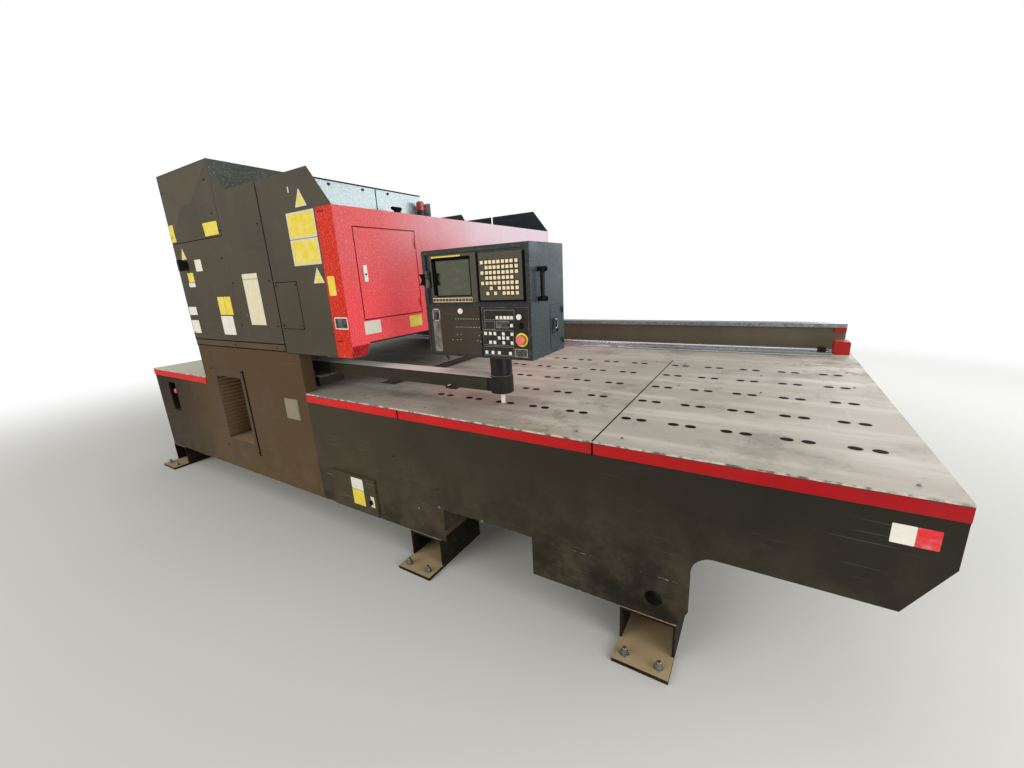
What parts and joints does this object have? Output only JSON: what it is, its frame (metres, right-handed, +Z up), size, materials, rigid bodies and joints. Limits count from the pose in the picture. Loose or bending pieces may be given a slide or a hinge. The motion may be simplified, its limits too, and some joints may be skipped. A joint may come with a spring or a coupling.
{
  "type": "cnc laser cutting machine",
  "caption": "Flatbed laser cutting machine with a fixed bridge over a slotted sheet table, a rear feed carriage with clamps, raised feet and a control pendant on a swing arm.",
  "frame": {"origin": "on the floor, in the middle of the bounding box", "axes": "+X runs right along the operator's front, +Y to the rear, +Z up"},
  "size_m": [5.4, 2.75, 2.417],
  "materials": {
    "bed_paint": "matt dark under-frame paint, dusty",
    "foot_paint": "matt dark paint, scuffed to bare edges",
    "charcoal_paint": "satin charcoal paint, scuffed",
    "red_paint": "faded red paint",
    "strip_red": "satin deep red paint, chipped",
    "galvanised": "bare mottled sheet",
    "worn_table": "worn ground steel, stained",
    "brush_black": "black bristle blocks",
    "burnt_steel": "slag-stained steel",
    "rail_steel": "ground steel, oiled",
    "carriage_paint": "satin grey paint",
    "jaw_steel": "machined steel",
    "frame_grey": "satin grey paint",
    "vent_dark": "satin dark paint",
    "pendant_black": "blue-black textured paint",
    "bezel_dark": "matt plastic",
    "screen": "glossy dark screen",
    "key_grey": "pale grey key caps",
    "switch_face": "satin dark panel",
    "button_red": "red moulded plastic",
    "button_white": "white moulded plastic",
    "knob_black": "black moulded plastic",
    "copper": "turned copper alloy",
    "head_steel": "machined steel",
    "post_steel": "turned steel",
    "lamp_red": "translucent red lens"
  },
  "bodies": {
    "machine": {"foot_plinths": "foot_paint", "bed_frame": "bed_paint", "front_skirt": "charcoal_paint", "left_front_panel": "charcoal_paint", "vent_grille": "vent_dark", "rear_skirts": "charcoal_paint", "edge_strips": "strip_red", "table_modules": "worn_table", "table_middle": "worn_table", "brush_inserts": "brush_black", "cutting_grate": "burnt_steel", "rear_deck": "worn_table", "rear_guard": "vent_dark", "rear_guard_lid": "galvanised", "red_end_blocks": "strip_red", "linear_rails": "rail_steel", "axis_motors": "knob_black", "portal_frame": "frame_grey", "ledge_band": "charcoal_paint", "left_upper_panel": "charcoal_paint", "mid_front_panel": "charcoal_paint", "pressed_panel": "charcoal_paint", "resonator_housing": "charcoal_paint", "laser_resonator": "frame_grey", "bridge_front_plate": "charcoal_paint", "service_hatch": "charcoal_paint", "red_side_cover": "red_paint", "top_covers": "galvanised", "rear_covers": "charcoal_paint", "rear_end_plates": "charcoal_paint", "beacon_base": "knob_black", "beacon_lens": "lamp_red", "arm_pivot": "frame_grey"},
    "y_carriage": {"y_carriage": "carriage_paint"},
    "z_slide": {"cutting_head": "head_steel", "nozzle": "copper"},
    "x_carriage": {"x_carriage": "carriage_paint", "clamp_bodies": "carriage_paint"},
    "jaw_left": {"clamp_jaw_left": "jaw_steel"},
    "jaw_right": {"clamp_jaw_right": "jaw_steel"},
    "x_screw": {"x_ball_screw": "rail_steel"},
    "y_screw": {"y_ball_screw": "rail_steel"},
    "swing_arm": {"swing_arm": "pendant_black"},
    "pendant": {"pendant_post": "post_steel", "pendant_housing": "pendant_black", "front_bezels": "bezel_dark", "screen_glass": "screen", "key_mat": "key_grey", "switch_panel": "switch_face", "side_handle": "knob_black"},
    "side_hatch": {"side_hatch": "pendant_black"},
    "e_stop_button": {"e_stop_button": "button_red"},
    "start_button": {"start_button": "button_white"},
    "mode_selector": {"mode_selector": "knob_black"},
    "side_door": {"side_door": "red_paint"},
    "side_door_handle": {"side_door_handle": "knob_black"},
    "skirt_door": {"skirt_door": "charcoal_paint"},
    "skirt_door_latch": {"skirt_door_latch": "knob_black"},
    "isolator_knob": {"isolator_knob": "knob_black"},
    "left_stop_button": {"left_stop_button": "button_red"}
  },
  "joints": [
    {"name": "y_axis", "type": "slide", "parent": "machine", "child": "y_carriage", "axis": [0, 1, 0], "range_m": [-0.63, 0.58]},
    {"name": "z_axis", "type": "slide", "parent": "y_carriage", "child": "z_slide", "axis": [0, 0, 1], "range_m": [-0.02, 0.09]},
    {"name": "x_axis", "type": "slide", "parent": "machine", "child": "x_carriage", "axis": [1, 0, 0], "range_m": [-1.58, 2.48]},
    {"name": "jaw_left_hinge", "type": "hinge", "parent": "x_carriage", "child": "jaw_left", "pos_m": [-0.85, 0.64, 1.001], "axis": [1, 0, 0], "range_deg": [-14, 6]},
    {"name": "jaw_right_hinge", "type": "hinge", "parent": "x_carriage", "child": "jaw_right", "pos_m": [-0.05, 0.64, 1.001], "axis": [1, 0, 0], "range_deg": [-14, 6]},
    {"name": "x_screw_spin", "type": "hinge", "parent": "machine", "child": "x_screw", "pos_m": [0, 0.888, 0.965], "axis": [1, 0, 0], "continuous": true},
    {"name": "y_screw_spin", "type": "hinge", "parent": "machine", "child": "y_screw", "pos_m": [-0.146, 0, 1.625], "axis": [0, 1, 0], "continuous": true},
    {"name": "arm_swing", "type": "hinge", "parent": "machine", "child": "swing_arm", "pos_m": [-0.495, -0.996, 1.02], "axis": [0, 0, 1], "range_deg": [-30, 30]},
    {"name": "pendant_swivel", "type": "hinge", "parent": "swing_arm", "child": "pendant", "pos_m": [1.009, -0.996, 1.1], "axis": [0, 0, 1], "range_deg": [-60, 60]},
    {"name": "side_hatch_hinge", "type": "hinge", "parent": "pendant", "child": "side_hatch", "pos_m": [1.2443, -0.7377, 1.3], "axis": [0, 0, 1], "range_deg": [0, 100]},
    {"name": "e_stop_press", "type": "slide", "parent": "pendant", "child": "e_stop_button", "axis": [0, 1, 0], "range_m": [0, 0.006]},
    {"name": "start_press", "type": "slide", "parent": "pendant", "child": "start_button", "axis": [0, 1, 0], "range_m": [0, 0.003], "stiffness_N_per_m": 400},
    {"name": "mode_turn", "type": "hinge", "parent": "pendant", "child": "mode_selector", "pos_m": [1.177, -1.071, 1.374], "axis": [0, -1, 0], "range_deg": [-45, 45]},
    {"name": "side_door_hinge", "type": "hinge", "parent": "machine", "child": "side_door", "pos_m": [0.1973, -0.6747, 1.6], "axis": [0, 0, 1], "range_deg": [0, 55]},
    {"name": "side_door_lever", "type": "hinge", "parent": "side_door", "child": "side_door_handle", "pos_m": [0.192, -1.097, 1.69], "axis": [1, 0, 0], "range_deg": [0, 80]},
    {"name": "skirt_door_hinge", "type": "hinge", "parent": "machine", "child": "skirt_door", "pos_m": [-0.2083, -1.2553, 0.3], "axis": [0, 0, -1], "range_deg": [0, 110]},
    {"name": "skirt_latch_turn", "type": "hinge", "parent": "skirt_door", "child": "skirt_door_latch", "pos_m": [0.163, -1.264, 0.285], "axis": [0, -1, 0], "range_deg": [0, 90]},
    {"name": "isolator_turn", "type": "hinge", "parent": "machine", "child": "isolator_knob", "pos_m": [-1.553, -1.255, 1.796], "axis": [0, -1, 0], "range_deg": [0, 90]},
    {"name": "left_stop_press", "type": "slide", "parent": "machine", "child": "left_stop_button", "axis": [0, 1, 0], "range_m": [0, 0.006]}
  ],
  "couplings": [
    {"joint": "x_screw_spin", "follows": "x_axis", "rad_per_m": 157.08},
    {"joint": "y_screw_spin", "follows": "y_axis", "rad_per_m": 157.08},
    {"joint": "jaw_right_hinge", "follows": "jaw_left_hinge", "ratio": 1}
  ]
}
